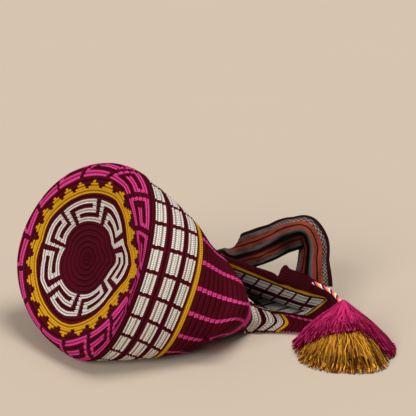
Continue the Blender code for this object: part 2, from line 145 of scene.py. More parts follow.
# mouth: wall station, then (block, x, y, z) round it
MOUTH_RINGS = [
    (15.0, [(-11.7, 18.6, 6.4, 3.3), (-9.5, 22.0, 4.2, 2.2), (-7.5, 24.0, 3.4, 1.3),
            (-5.5, 26.8, 0.8, 0.7), (-4.5, 28.2, -0.7, 0.4), (-3.5, 26.4, -2.1, 0.25),
            (-2.0, 20.6, -3.2, 0.2), (-1.0, 19.6, -4.6, 0.9), (-0.5, 20.4, -5.1, 2.6),
            (0.0, 19.9, -4.8, 4.9), (1.2, 18.7, -4.5, 6.6), (3.0, 18.0, -3.4, 8.4),
            (6.0, 15.8, 0.8, 9.6), (9.0, 15.6, 5.2, 7.8)]),
    (17.3, [(-11.7, 18.8, 5.5, 4.9), (-9.5, 22.1, 2.8, 3.6), (-7.5, 24.8, 1.4, 2.5),
            (-5.5, 28.0, -0.3, 1.4), (-4.5, 29.6, -1.3, 0.9), (-3.5, 29.6, -2.4, 0.5),
            (-2.0, 23.6, -2.8, 0.2), (-1.0, 21.5, -4.3, 0.4), (-0.5, 23.0, -4.6, 1.7),
            (0.0, 22.3, -4.2, 3.3), (0.5, 21.2, -3.7, 3.6),
            (1.2, 19.2, -3.2, 4.0), (3.0, 16.6, -2.6, 7.2),
            (6.0, 14.4, 1.0, 8.6), (9.0, 14.8, 5.2, 7.0)]),
    (20.5, [(-11.7, 19.9, 4.2, 6.8), (-9.5, 23.3, 2.0, 5.6), (-7.5, 26.4, 0.5, 4.4),
            (-5.5, 29.3, -1.2, 3.4), (-3.5, 31.8, -3.6, 2.8), (-2.0, 27.6, -3.2, 0.4),
            (-1.0, 23.8, -5.0, 0.3), (-0.5, 24.9, -5.4, 1.5), (0.0, 24.1, -4.8, 2.9),
            (1.2, 20.2, -3.0, 2.6), (3.0, 14.0, -2.0, 7.2), (6.0, 11.8, 1.0, 9.0),
            (9.0, 13.6, 5.0, 7.8)]),
    (23.0, [(-11.7, 20.0, 5.2, 7.0), (-9.5, 23.5, 2.6, 6.0), (-8.0, 25.3, 1.2, 5.5),
            (-7.35, 26.4, 0.5, 5.1), (-7.15, 27.0, 0.5, 5.4), (-6.3, 28.3, -0.3, 4.9),
            (-5.5, 29.7, -0.8, 4.4), (-5.0, 30.3, -1.7, 4.1), (-4.4, 31.3, -3.0, 3.7),
            (-3.5, 31.7, -4.9, 2.9), (-2.0, 29.6, -4.6, 0.6), (-1.0, 26.4, -6.2, 0.3),
            (-0.5, 27.1, -6.7, 1.2), (0.0, 27.0, -6.5, 2.2), (0.5, 26.0, -5.9, 2.8),
            (1.2, 21.0, -2.6, 1.7),
            (3.0, 12.2, -2.0, 7.0), (6.0, 9.6, 1.0, 9.0), (9.0, 12.4, 5.2, 7.8)]),
    (25.2, [(-11.7, 20.2, 6.2, 5.8), (-9.5, 24.7, 3.7, 4.9), (-8.0, 26.1, 1.8, 4.9),
            (-7.35, 26.7, 0.8, 5.1), (-7.2, 27.4, 1.3, 6.2), (-6.9, 27.9, 0.8, 6.0),
            (-6.3, 28.7, 0.3, 5.75),
            (-5.5, 30.0, -0.4, 5.3), (-5.0, 30.7, -1.3, 4.7), (-4.4, 31.5, -2.8, 4.0),
            (-3.5, 32.6, -4.6, 3.0), (-2.0, 31.0, -6.2, 0.8), (-1.0, 28.3, -7.4, 0.3),
            (-0.5, 28.9, -7.9, 1.2), (0.0, 28.8, -7.6, 2.1), (0.5, 27.8, -7.1, 2.7),
            (1.2, 22.0, -2.6, 1.4),
            (3.0, 10.6, -2.2, 6.8), (6.0, 7.6, 1.0, 9.0), (9.0, 11.0, 5.4, 7.8)]),
]

# strap centre line: x, y, z, then the direction across the band, then the depth of its crease
STRAP_LINE = [
    (30.64, -0.68, 3.9, 0.72, -0.66, -0.20, 0.6),
    (30.84, -0.08, 7.0, 0.80, -0.60, 0.00, 1.7),
    (31.1, 0.6, 9.4, 0.85, -0.50, 0.15, 1.8),
    (30.3, 1.2, 11.1, 0.60, -0.05, 0.80, 1.9),
    (28.6, 2.6, 10.5, 0.20, 0.70, 0.68, 1.2),
    (26.7, 5.6, 8.2, 0.10, 0.85, 0.50, 0.5),
    (25.5, 8.8, 6.3, 0.10, 0.82, 0.56, 0.5),
    (24.6, 11.2, 4.9, 0.15, 0.80, 0.55, 0.8),
    (23.8, 13.0, 4.0, 0.45, 0.80, 0.00, 2.0),
    (22.2, 15.0, 3.5, 0.48, 0.85, -0.15, 0.8),
    (19.6, 17.0, 3.1, 0.40, 0.80, 0.40, 0.3),
    (15.4, 19.3, 2.95, 0.00, 0.00, 1.00, 0.0),
    (9.0, 21.4, 2.90, 0.00, 0.00, 1.00, 0.0),
    (3.4, 21.0, 2.90, 0.00, 0.00, 1.00, 0.0),
    (1.8, 18.8, 2.90, 0.00, 0.00, 1.00, 0.0),
    (4.6, 16.8, 2.90, 0.00, 0.00, 1.00, 0.0),
    (11.0, 15.4, 2.95, 0.00, 0.00, 1.00, 0.0),
    (15.4, 11.6, 3.2, 0.00, 0.05, 1.00, 0.0),
    (18.0, 8.4, 3.9, 0.00, 0.05, 1.00, 0.0),
    (20.6, 6.45, 4.5, 0.00, 0.00, 1.00, 0.0),
]

# drawstring centre line from the rim to the tassel
CORD_LINE = [
    (30.20, -1.90, 4.92), (30.45, -4.0, 5.15), (30.6, -6.0, 5.4), (30.4, -8.0, 5.6),
    (29.98, -10.20, 5.72),
]


def unit(yaw, lean):
    """directions to the near side, ahead and up along a ring that is turned and leans"""
    yaw, lean = np.radians(yaw), np.radians(lean)
    side = np.array([np.sin(yaw), -np.cos(yaw), 0.0])
    ahead = np.array([np.cos(yaw), np.sin(yaw), 0.0])
    return side, ahead, np.array([0.0, 0.0, np.cos(lean)]) + ahead * np.sin(lean)


def hermite(x, y, t):
    """smooth curve through the rows of y at the stations x"""
    x, y, t = np.asarray(x, float), np.asarray(y, float), np.asarray(t, float)
    h = np.diff(x)
    d = np.diff(y, axis=0) / h[:, None]
    m = np.empty_like(y)
    m[1:-1] = (d[:-1] * h[1:, None] + d[1:] * h[:-1, None]) / (h[:-1] + h[1:])[:, None]
    m[0], m[-1] = d[0], d[-1]
    t = np.clip(t, x[0], x[-1])
    i = np.clip(np.searchsorted(x, t, side="right") - 1, 0, len(x) - 2)
    u, hh = ((t - x[i]) / h[i])[:, None], h[i][:, None]
    return ((2 * u**3 - 3 * u**2 + 1) * y[i] + (u**3 - 2 * u**2 + u) * hh * m[i]
            + (3 * u**2 - 2 * u**3) * y[i + 1] + (u**3 - u**2) * hh * m[i + 1])


def run_of(points):
    """length walked along a line of points, from 0 at its first"""
    return np.concatenate([[0], np.cumsum(np.linalg.norm(np.diff(points, axis=0), axis=1))])


def body_ring(entry, blocks):
    """one ring of the wall, stitches evenly spaced round it, resting on the ground"""
    cx, cy, yaw, lean, near, half, power, far, fx, fz, offset, crowd = entry[1:]
    side, ahead, rise = unit(yaw, lean)
    centre = np.array([cx, cy, half * np.cos(np.radians(lean))])
    turn = np.linspace(0, 2 * np.pi, RING_POINTS)
    co, si = np.cos(turn), np.sin(turn)
    pw = 2 / (power + (FAR_SQUARENESS - power) * np.clip(-co, 0, 1))
    a = np.sign(co) * np.abs(co)**pw
    h = np.sign(si) * np.abs(si)**pw
    back = np.clip(-a, 0, 1)**2
    p = centre + np.outer(np.where(a > 0, near, far) * a, side) + np.outer(h * half, rise)
    p[:, 0] += back * fx
    p[:, 2] -= fz * back * np.clip(1 + h, 0, 1)
    run = run_of(p)
    blocks = np.asarray(blocks, float)
    blocks = blocks - crowd * np.sin((blocks + 1.0) / BLOCKS * 2 * np.pi)
    want = ((blocks + offset) / BLOCKS * run[-1]) % run[-1]
    return np.stack([np.interp(want, run, p[:, i]) for i in range(3)], 1)


def closed_curve(keys, blocks):
    """smooth closed ring through keys of (block, x, y, z)"""
    k = np.array(keys, float)
    x = np.concatenate([k[-3:, 0] - BLOCKS, k[:, 0], k[:3, 0] + BLOCKS])
    y = np.concatenate([k[-3:, 1:], k[:, 1:], k[:3, 1:]])
    b = (np.asarray(blocks, float) - k[0, 0]) % BLOCKS + k[0, 0]
    return hermite(x, y, b)


def base_point(r, angle):
    """points of the dished base at radius r, and its outward direction"""
    side, ahead, rise = unit(BASE_YAW, BASE_LEAN)
    lean = np.radians(BASE_LEAN)
    out = np.array([0, 0, 1]) * np.sin(lean) - ahead * np.cos(lean)
    depth = np.interp(r, [a for a, _ in BASE_DISH], [b for _, b in BASE_DISH])
    flat = np.outer(BASE_WIDEN * np.cos(angle), side) + np.outer(np.sin(angle), rise)
    return BASE_CENTRE + r * flat + depth * out, out


def body_stations(blocks):
    """stations and rings of the wall, then angle, edge points and edge direction of the base"""
    blocks = np.asarray(blocks, float)
    rings = [(entry[0], body_ring(entry, blocks)) for entry in BODY_RINGS]
    rings += [(s, closed_curve(keys, blocks)) for s, keys in MOUTH_RINGS]
    stations = np.array([s for s, _ in rings])
    wall = np.array([p for _, p in rings])
    angle = (blocks + BASE_LEAD) / BLOCKS * 2 * np.pi
    edge = base_point(BASE_RADIUS, angle)[0]
    inner = base_point(BASE_RADIUS - EDGE_STEP, angle)[0]
    return stations, wall, angle, edge, (edge - inner) / EDGE_STEP


def body_point(s, blocks, cache):
    """ring at station s: 0 and up on the wall, -BAND to 0 over the edge, less is the base"""
    stations, wall, angle, edge, edge_dir = cache
    n = len(blocks)
    if s >= 0:
        return hermite(stations, wall.reshape(len(stations), -1), [s]).reshape(n, 3)
    if s >= -BAND:
        u = (s + BAND) / BAND
        first = wall[0]
        step = (wall[1] - wall[0]) / (stations[1] - stations[0])
        step /= np.maximum(np.linalg.norm(step, axis=1, keepdims=True), 1e-6)
        chord = np.linalg.norm(first - edge, axis=1, keepdims=True)
        pull = (EDGE_FULL - EDGE_NEAR * np.maximum(np.cos(angle), 0.0)[:, None]) * chord
        return ((2 * u**3 - 3 * u**2 + 1) * edge + (u**3 - 2 * u**2 + u) * pull * edge_dir
                + (3 * u**2 - 2 * u**3) * first + (u**3 - u**2) * pull * step)
    r = BASE_RADIUS + (s + BAND)
    return base_point(max(r, 0.0), angle)[0]


def normals_of(p):
    """directions across a grid of points whose columns go round"""
    du = np.roll(p, -1, 1) - np.roll(p, 1, 1)
    n = np.cross(np.gradient(p, axis=0), du)
    return n / np.maximum(np.linalg.norm(n, axis=2, keepdims=True), 1e-9)


def mesh_object(name, points, quads, colours, material, uv=None):
    """a mesh of quads with a yarn colour for each quad and, if given, a uv for each corner"""
    mesh = bpy.data.meshes.new(name)
    mesh.vertices.add(len(points))
    mesh.vertices.foreach_set("co", row(points).astype(np.float32).ravel())
    mesh.loops.add(quads.size)
    mesh.loops.foreach_set("vertex_index", quads.astype(np.int32).ravel())
    mesh.polygons.add(len(quads))
    mesh.polygons.foreach_set("loop_start", np.arange(0, quads.size, 4, dtype=np.int32))
    mesh.update(calc_edges=True)
    layer = mesh.color_attributes.new("yarn", "FLOAT_COLOR", "CORNER")
    rgba = np.concatenate([colours.reshape(-1, 3), np.ones((len(quads), 1))], 1)
    layer.data.foreach_set("color", np.repeat(rgba, 4, axis=0).astype(np.float32).ravel())
    if uv is not None:
        mesh.uv_layers.new(name="stitch").data.foreach_set("uv", uv.astype(np.float32).ravel())
    mesh.polygons.foreach_set("use_smooth", np.ones(len(quads), bool))
    mesh.materials.append(material)
    mesh.validate()
    mesh.update()
    obj = bpy.data.objects.new(name, mesh)
    bpy.context.scene.collection.objects.link(obj)
    return obj


def grid_object(name, points, colours, uv, material, flip=False):
    """a grid of points (rows, columns, 3) whose columns go round, a yarn colour for each cell"""
    rows, cols = points.shape[:2]
    i, j = np.meshgrid(np.arange(rows - 1), np.arange(cols), indexing="ij")
    k = (j + 1) % cols
    quads = np.stack([i * cols + j, i * cols + k, (i + 1) * cols + k, (i + 1) * cols + j], -1)
    corner_u = np.stack([j, j + 1, j + 1, j], -1)
    corner_v = np.stack([i, i, i + 1, i + 1], -1)
    if flip:
        quads, corner_u, corner_v = quads[..., ::-1], corner_u[..., ::-1], corner_v[..., ::-1]
    u, v = uv
    flat = np.stack([np.asarray(u)[corner_u], np.asarray(v)[corner_v]], -1)
    return mesh_object(name, points.reshape(-1, 3), quads.reshape(-1, 4), colours, material, flat)


class Nodes:
    """small helper for node materials"""

    def __init__(self, name):
        self.material = bpy.data.materials.new(name)
        self.material.use_nodes = True
        self.tree = self.material.node_tree
        self.shader = self.tree.nodes["Principled BSDF"]

    def add(self, kind, **values):
        node = self.tree.nodes.new(kind)
        for key, value in values.items():
            setattr(node, key, value)
        return node

    def link(self, a, b):
        self.tree.links.new(a, b)

    def math(self, operation, a, b=None, c=None):
        node = self.add("ShaderNodeMath", operation=operation)
        for index, value in enumerate((a, b, c)):
            if value is None:
                continue
            if isinstance(value, (int, float)):
                node.inputs[index].default_value = value
            else:
                self.link(value, node.inputs[index])
        return node.outputs[0]

    def wave(self, value, factor):
        """a row of round humps from 0 to 1, factor / pi of them for each unit of value"""
        return self.math("ABSOLUTE", self.math("SINE", self.math("MULTIPLY", value, factor)))

    def stitch_uv(self):
        """the two coordinates of the stitch map"""
        split = self.add("ShaderNodeSeparateXYZ")
        self.link(self.add("ShaderNodeUVMap", uv_map="stitch").outputs["UV"], split.inputs[0])
        return split.outputs[0], split.outputs[1]

    def yarn(self):
        """the colours of the mesh"""
        return self.add("ShaderNodeVertexColor", layer_name="yarn").outputs["Color"]

    def finish(self, colour, roughness, specular, normal=None):
        """the shader's colour, its two levels and its bumps"""
        self.link(colour, self.shader.inputs["Base Color"])
        self.shader.inputs["Roughness"].default_value = roughness
        self.shader.inputs["Specular IOR Level"].default_value = specular
        if normal is not None:
            self.link(normal, self.shader.inputs["Normal"])
        return self.material

    def bump(self, height, strength, distance, before=None):
        """bumps, that distance in metres from low to high, over those of before"""
        node = self.add("ShaderNodeBump")
        node.inputs["Strength"].default_value = strength
        node.inputs["Distance"].default_value = distance
        self.link(height, node.inputs["Height"])
        if before is not None:
            self.link(before, node.inputs["Normal"])
        return node.outputs["Normal"]

    def noise(self, scale, detail=2.0, coords=None):
        """uneven values round 0.5, placed by the object's metres unless coords are given"""
        node = self.add("ShaderNodeTexNoise")
        node.inputs["Scale"].default_value = scale
        node.inputs["Detail"].default_value = detail
        if coords is None:
            coords = self.add("ShaderNodeTexCoord").outputs["Object"]
        self.link(coords, node.inputs["Vector"])
        return node.outputs["Fac"]

    def vary(self, colour, factor, low, high):
        """colour times a value between low and high"""
        ramp = self.add("ShaderNodeMapRange")
        ramp.inputs["To Min"].default_value = low
        ramp.inputs["To Max"].default_value = high
        self.link(factor, ramp.inputs["Value"])
        mix = self.add("ShaderNodeVectorMath", operation="SCALE")
        self.link(colour, mix.inputs[0])
        self.link(ramp.outputs[0], mix.inputs["Scale"])
        return mix.outputs[0]


COTTON_ROUGHNESS, COTTON_SPECULAR = 0.75, 0.05
STITCH_LEAN = 0.5
LOOP_SHARP, GROOVE_SHARP, PAIR_SHARP = 0.6, 0.5, 0.85
# painted shade in the grooves and painted light on the tops of the loops
GROOVE_PAINTED_SHADE, TOP_PAINTED_LIGHT = 0.15, 1.22


def crochet_material(name, shade=1.0):
    """leaning stitches with painted shade in the grooves between the rounds, deeper after each
    second round
    """
    n = Nodes(name)
    u, v = n.stitch_uv()
    lean = n.math("MULTIPLY", n.math("FRACT", v), STITCH_LEAN)
    loop = n.math("POWER", n.wave(n.math("ADD", u, lean), math.pi), LOOP_SHARP)
    groove = n.math("POWER", n.wave(v, math.pi), GROOVE_SHARP)
    pair = n.math("POWER", n.wave(v, math.pi / 2), PAIR_SHARP)
    relief = n.math("MULTIPLY", loop, n.math("MULTIPLY", groove, pair))
    # the yarn colour with painted shade in the grooves and painted light on the loop tops, times
    # shade, a painted shade of the whole
    tint = n.vary(n.yarn(), relief, GROOVE_PAINTED_SHADE * shade, TOP_PAINTED_LIGHT * shade)
    tint = n.vary(tint, n.noise(420.0, 3.0), 0.84, 1.12)
    normal = n.bump(n.noise(2600.0, 2.0), 0.25, 0.0004, n.bump(relief, 0.8, 0.0012))
    return n.finish(tint, COTTON_ROUGHNESS, COTTON_SPECULAR, normal)


# the pattern, counted in rounds and stitches
STITCHES = 288
PER_BLOCK = STITCHES // BLOCKS
BASE_ROUND = 0.309
DISC_ROUNDS = 30
BAND_ROUNDS = 12
WALL_ROUNDS = 80
SPIRAL_ROUNDS = 13
KEY_BAND = 10

# base: where the cream keys begin (degrees), the gold rounds and the steps on them (share of a
# column), the number of pink keys and where the first begins
CREAM_BARS = [183.0, 140.0, 86.0, 38.0, -18.0, -75.0, -123.0, -177.0, -220.0]
BASE_GOLD = (25, 26)
GOLD_STEPS = {27: (0.10, 0.86), 28: (0.22, 0.66), 29: (0.32, 0.52)}
PINK_FIRST = 31
PINK_KEYS, PINK_KEY_START = 15, math.radians(86.0)

# wall: the rounds where the cream lattices start, their rounds in all, those of one cell and of
# its cream, the gold rounds, the pink ones along the fold, and where the pink lines start
LATTICES = (3, 47)
LATTICE_ROUNDS, CELL_ROUNDS, CELL_CREAM = 16, 6, 4
WALL_GOLD = (20, 21, 64, 65)
FOLD_ROUNDS = (44, 45)
LINES_FIRST, RIM_LINES_FIRST = 22, 66


def cream_key(x, y):
    """one motif of the inner key band; x runs clockwise 0..1, y is the band from the inside 0..4"""
    return ((x < 0.105) | ((y == 4) & (x < 0.88)) | ((y == 3) & (x > 0.775) & (x < 0.88))
            | ((y == 2) & (x > 0.245) & (x < 0.88)) | ((y == 1) & (x > 0.245) & (x < 0.35))
            | ((y == 0) & (x > 0.245)))


def pink_key(x, y):
    """one motif of the outer key band"""
    return (((y == 0) & (x > 0.07) & (x < 0.93)) | ((y == 4) & (x > 0.07) & (x < 0.93))
            | ((x > 0.07) & (x < 0.19) & (y <= 4)) | ((x > 0.81) & (x < 0.93) & (y >= 2))
            | ((y == 2) & (x > 0.36) & (x < 0.93)))


def base_yarn(k, angle):
    """yarn of the base at round k (0 at the centre)"""
    out = np.empty((len(angle), 3))
    out[:] = MAROON
    if SPIRAL_ROUNDS <= k < SPIRAL_ROUNDS + KEY_BAND:
        turned = (np.degrees(angle) + 177.0) % 360.0 - 177.0
        x = np.interp(-turned, -np.array(CREAM_BARS), np.arange(len(CREAM_BARS))) % 1.0
        out[cream_key(x, np.full(len(x), (k - SPIRAL_ROUNDS) // 2))] = CREAM
    elif k in BASE_GOLD:
        out[:] = GOLD
    elif k in GOLD_STEPS:
        x = (angle / (2 * math.pi) * BLOCKS) % 1.0
        low, high = GOLD_STEPS[k]
        out[(x > low) & (x < high)] = GOLD
    elif PINK_FIRST <= k < PINK_FIRST + KEY_BAND:
        x = ((PINK_KEY_START - angle) / (2 * math.pi) * PINK_KEYS) % 1.0
        out[pink_key(x, np.full(len(x), (k - PINK_FIRST) // 2))] = PINK
    return out


def wall_yarn(k, inside=False):
    """yarn of the wall at round k; the inside shows no pink past the lines of the lower wall"""
    t = np.arange(STITCHES) % PER_BLOCK
    line = (t == PER_BLOCK - 1) | (t == 0)
    out = np.empty((STITCHES, 3))
    out[:] = MAROON
    for first in LATTICES:
        if first <= k < first + LATTICE_ROUNDS and (k - first) % CELL_ROUNDS < CELL_CREAM:
            out[~line] = CREAM
    if k in WALL_GOLD:
        out[:] = GOLD
    elif k in FOLD_ROUNDS and not inside:
        out[:] = PINK
    elif LINES_FIRST <= k < FOLD_ROUNDS[0] or (k >= RIM_LINES_FIRST and not inside):
        out[line] = PINK
    return out


RIB_TOP, RIB_GROOVE, PAIR_GROOVE = 0.065, -0.130, -0.02
STITCH_SHIFT = 0.016


def relief(k, half):
    """height of the fabric at the start (half 0) and the middle (half 1) of round k"""
    if half:
        return RIB_TOP
    return RIB_GROOVE if k % 2 == 0 else PAIR_GROOVE


def stitched(first, last, place):
    """rows of points, two to a round, with the ribs raised, and their rounds"""
    rows, heights, v = [], [], []
    for k in range(first, last):
        for half in (0, 1):
            rows.append(place(k + half / 2, STITCH_SHIFT * half * (1 if k % 2 else -1)))
            heights.append(relief(k, half))
            v.append(k + half / 2)
    rows.append(place(float(last), 0.0))
    heights.append(relief(last, 0))
    v.append(float(last))
    p = np.array(rows)
    p = p + normals_of(p) * np.array(heights)[:, None, None]
    p[..., 2] = np.maximum(p[..., 2], 0.0)
    return p, np.array(v)


stitch_blocks = np.arange(STITCHES) / PER_BLOCK
caches = {}

# uneven pull of the base: direction in degrees, outward shift of the rounds at these radii
PULL_RADII = (4.0, 7.15, 7.7)
BASE_PULL = [
    (-160, 0.45, -0.15, 0.08), (-140, 0.70, 0.35, 0.20), (-120, 0.70, 0.00, 0.32),
    (-100, 0.62, 0.30, 0.45), (-90, 0.50, 0.30, 0.52), (-80, 0.42, 0.00, 0.45),
    (-60, 0.30, -0.35, -0.20), (-40, 0.05, -0.75, -0.75), (-30, -0.05, -0.95, -0.98),
    (-20, -0.05, -1.02, -0.92), (-10, 0.00, -0.65, -0.62), (0, 0.25, -0.15, 0.08),
    (12, 1.00, 0.35, 0.45), (20, 0.95, 0.15, 0.08), (30, 0.62, -0.40, -0.42),
    (40, 0.30, -0.48, -0.22), (50, 0.50, 0.00, 0.20), (60, 0.70, 0.42, 0.58),
    (70, 0.68, 0.70, 0.88), (80, 0.65, 0.48, 0.65), (100, 0.55, 0.15, 0.20),
    (120, 0.55, -0.08, -0.12), (140, 0.50, -0.22, -0.22), (160, 0.38, -0.08, -0.12),
    (180, 0.00, -0.20, -0.38),
]


def pulled(r, angle):
    """outward shift of the base rounds at radius r, fading out over the rounded edge"""
    table = np.array(BASE_PULL)
    turned = np.degrees(angle)
    at = [np.interp(turned, table[:, 0], table[:, i], period=360.0) for i in (1, 2, 3)]
    stops = [0.0, *PULL_RADII, BASE_RADIUS, BASE_RADIUS + BAND]
    shifts = np.array([at[0] * 0, at[0], at[1], at[2], at[2], at[2] * 0])
    i = int(np.clip(np.searchsorted(stops, r, side="right") - 1, 0, len(stops) - 2))
    f = (r - stops[i]) / (stops[i + 1] - stops[i])
    return shifts[i] * (1 - f) + shifts[i + 1] * f


# fine stations of the wall, and fine radii of the base
STEP = 0.1
FINE = np.arange(0.0, WALL_LENGTH + STEP / 2, STEP)
BASE_FINE = np.arange(0.0, BASE_RADIUS + BAND + STEP / 2, STEP)

# stations of the wall between which the rows of the hidden columns are evenly spaced
EVEN_FROM, EVEN_TO = 3.5, 15.0


def spread(blocks):
    """share by which the rows of a column are evenly spaced: 1 on the hidden side"""
    b = (np.asarray(blocks) + 3.0) % BLOCKS
    return np.clip((b - 9.0) / 2.5, 0, 1) * np.clip((21.6 - b) / 2.0, 0, 1)


def wall_track(blocks):
    """wall points at fine stations, the hidden columns evenly spaced"""
    cache = body_stations(blocks)
    stations, wall = cache[0], cache[1]
    track = hermite(stations, wall.reshape(len(stations), -1), FINE)
    track = track.reshape(len(FINE), len(blocks), 3)
    run = np.concatenate([np.zeros((1, len(blocks))),
                          np.cumsum(np.linalg.norm(np.diff(track, axis=0), axis=2), axis=0)])
    low, high = np.searchsorted(FINE, EVEN_FROM), np.searchsorted(FINE, EVEN_TO)
    out = track.copy()
    share = spread(blocks)
    for c in range(len(blocks)):
        even = run[low, c] + (run[high, c] - run[low, c]) * np.linspace(0, 1, high - low + 1)
        moved = np.interp(even, run[low:high + 1, c], FINE[low:high + 1])
        at = FINE[low:high + 1] * (1 - share[c]) + moved * share[c]
        for axis in range(3):
            out[low:high + 1, c, axis] = np.interp(at, FINE, track[:, c, axis])
    return cache, out


def ring(s, shift):
    """ring at station s, shifted round the bag by a share of a column"""
    if shift not in caches:
        cache, track = wall_track(stitch_blocks + shift)
        under = np.array([body_point(min(r - BASE_RADIUS - BAND, -1e-6), stitch_blocks, cache)
                          for r in BASE_FINE])
        caches[shift] = cache, track, under
    cache, track, under = caches[shift]
    if s < 0:
        r = s + BASE_RADIUS + BAND
        at = np.clip(r + pulled(r, cache[2]), 0.0, BASE_FINE[-1] - 1e-6) / STEP
        i = np.minimum(at.astype(int), len(BASE_FINE) - 2)
        f = (at - i)[:, None]
        columns = np.arange(STITCHES)
        return under[i, columns] * (1 - f) + under[i + 1, columns] * f
    i = min(int(s / STEP), len(FINE) - 2)
    f = s / STEP - i
    return track[i] * (1 - f) + track[i + 1] * f


# painted shade: the inside of the wall and base is the same cotton, made darker all over
INSIDE_PAINTED_SHADE = 0.58
crochet = crochet_material("crochet_cotton")
inside_cotton_painted_shade = crochet_material("crochet_cotton_inside_painted_shade", INSIDE_PAINTED_SHADE)
stitch_u = np.arange(STITCHES + 1, dtype=float)

# outer wall
points, v = stitched(0, WALL_ROUNDS, lambda k, d: ring(k * ROUND, d))
colours = np.repeat(np.array([wall_yarn(k) for k in range(WALL_ROUNDS)]), 2, axis=0)
# the pink line along the fold stays narrow where the fabric is drawn out
FOLD_WIDEST = 5 * ROUND
fold, cells = 2 * FOLD_ROUNDS[0], 2 * len(FOLD_ROUNDS)
drawn = np.cumsum(np.linalg.norm(np.diff(points[fold:fold + cells + 1], axis=0), axis=2), axis=0)
for i in range(1, cells):
    colours[fold + i, drawn[i - 1] > FOLD_WIDEST] = MAROON
wall = grid_object("crochet_wall", points, colours, (stitch_u, v), crochet, flip=True)
outer_rim = points[-1]

# rounded edge with the pink keys, and the disc out to the spiral
EDGE_START = -BAND - BASE_RADIUS + DISC_ROUNDS * BASE_ROUND


def base_station(k):
    """station of round k of the base"""
    if k <= DISC_ROUNDS:
        return -BAND - BASE_RADIUS + k * BASE_ROUND
    return EDGE_START * (1 - (k - DISC_ROUNDS) / BAND_ROUNDS)


angles = (stitch_blocks + BASE_LEAD + 0.5 / PER_BLOCK) / BLOCKS * 2 * math.pi
base_rounds = range(SPIRAL_ROUNDS, DISC_ROUNDS + BAND_ROUNDS)
points, v = stitched(base_rounds.start, base_rounds.stop, lambda k, d: ring(base_station(k), d))
colours = np.repeat(np.array([base_yarn(k, angles) for k in base_rounds]), 2, axis=0)
base = grid_object("crochet_base", points, colours, (stitch_u, v), crochet, flip=True)

# spiral start of the base: ribs that fade out before its edge, which lies a little lower
SPIRAL_COLUMNS, SPIRAL_ROWS = 96, 80
SPIRAL_RIB, SPIRAL_FADE, SPIRAL_SINK = 0.13, 0.3, 0.05
spiral_edge = SPIRAL_ROUNDS * BASE_ROUND
turns = np.linspace(0, 2 * math.pi, SPIRAL_COLUMNS + 1)[:-1]
radii = np.linspace(0.02, spiral_edge, SPIRAL_ROWS)
flat = np.array([
    np.concatenate([base_point(r + d, turns[c:c + 1])[0] for c, d in enumerate(pulled(r, turns))])
    for r in radii])
out = base_point(0.0, turns)[1]
phase = radii[:, None] / (2 * BASE_ROUND) - turns[None, :] / (2 * math.pi)
fade = np.clip((spiral_edge - radii) / SPIRAL_FADE, 0, 1)[:, None]
lift = (SPIRAL_RIB * (np.abs(np.cos(np.pi * phase)) - 0.6)) * fade - SPIRAL_SINK * (1 - fade)
flat = flat + lift[..., None] * out
spiral_yarn = np.empty((SPIRAL_ROWS - 1, SPIRAL_COLUMNS, 3))
spiral_yarn[:] = MAROON
spiral = grid_object("crochet_spiral", flat, spiral_yarn,
                     (np.arange(SPIRAL_COLUMNS + 1) * 1.0, radii / BASE_ROUND), crochet)

# inside of the wall, from the rim down; the fabric is thinner along the near lip
INSIDE_FROM = 23
LIP_THIN, LIP_STATION = 0.8, 14.5
LIP_RISE, LIP_LOW = 0.45, 0.05
rows_in = list(range(WALL_ROUNDS, INSIDE_FROM - 1, -1))
plain = np.array([ring(k * ROUND, 0.0) for k in rows_in[::-1]])
column = (stitch_blocks + BLOCKS / 2) % BLOCKS
near = np.clip(2.6 - np.abs(column - 12.6), 0, 1)
past = np.clip(np.array(rows_in[::-1]) * ROUND - LIP_STATION, 0, 1)
depth = FABRIC * (1 - LIP_THIN * near[None, :] * past[:, None])
inner = (plain - normals_of(plain) * depth[..., None])[::-1]
inner[..., 2] = np.maximum(inner[..., 2], depth[::-1])
lip = (outer_rim + inner[0]) / 2 + (plain[-1] - plain[-2]) * LIP_RISE
lip[:, 2] = np.maximum(lip[:, 2], LIP_LOW)
points = np.concatenate([outer_rim[None], lip[None], inner])
rim_yarn = wall_yarn(WALL_ROUNDS - 1)
colours = np.array([rim_yarn, rim_yarn] + [wall_yarn(k - 1, True) for k in rows_in[:-1]])
# the first rounds of the inner lattice lie deep in the fold there, in shade
SHADED, SHADED_ROUNDS = 0.50, 4
turned_in = np.abs(column - 7.5) < 3.5
for i, k in enumerate(rows_in[:-1]):
    if LATTICES[1] <= k - 1 < LATTICES[1] + SHADED_ROUNDS:
        colours[i + 2, turned_in] *= SHADED
lip_v = [WALL_ROUNDS + 1.0, WALL_ROUNDS + 0.5]
lining = grid_object("crochet_inside", points, colours,
                     (stitch_u, np.array(lip_v + [float(k) for k in rows_in])), inside_cotton_painted_shade)

# inside of the lower wall and the base, in coarser cells
COARSE = 0.25
coarse = np.arange(0, BLOCKS, COARSE)
coarse_cache, coarse_track = wall_track(coarse)
s_in = np.concatenate([np.linspace(INSIDE_FROM * ROUND, 0, 12),
                       np.linspace(-0.9, -BAND - BASE_RADIUS + 0.2, 24)])
plain = np.array([
    body_point(s, coarse, coarse_cache) if s < 0 else coarse_track[int(round(s / STEP))]
    for s in s_in[::-1]])
inner = (plain - normals_of(plain) * FABRIC)[::-1]
inner[..., 2] = np.maximum(inner[..., 2], FABRIC)
colours = np.empty((len(s_in) - 1, len(coarse), 3))
colours[:] = MAROON
deep_u = np.arange(len(coarse) + 1) * PER_BLOCK * COARSE
deep = grid_object("crochet_inside_base", inner, colours, (deep_u, s_in / ROUND), inside_cotton_painted_shade)
for piece in (wall, base, spiral, lining, deep):
    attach(piece, "root")
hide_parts("crocheted_body")

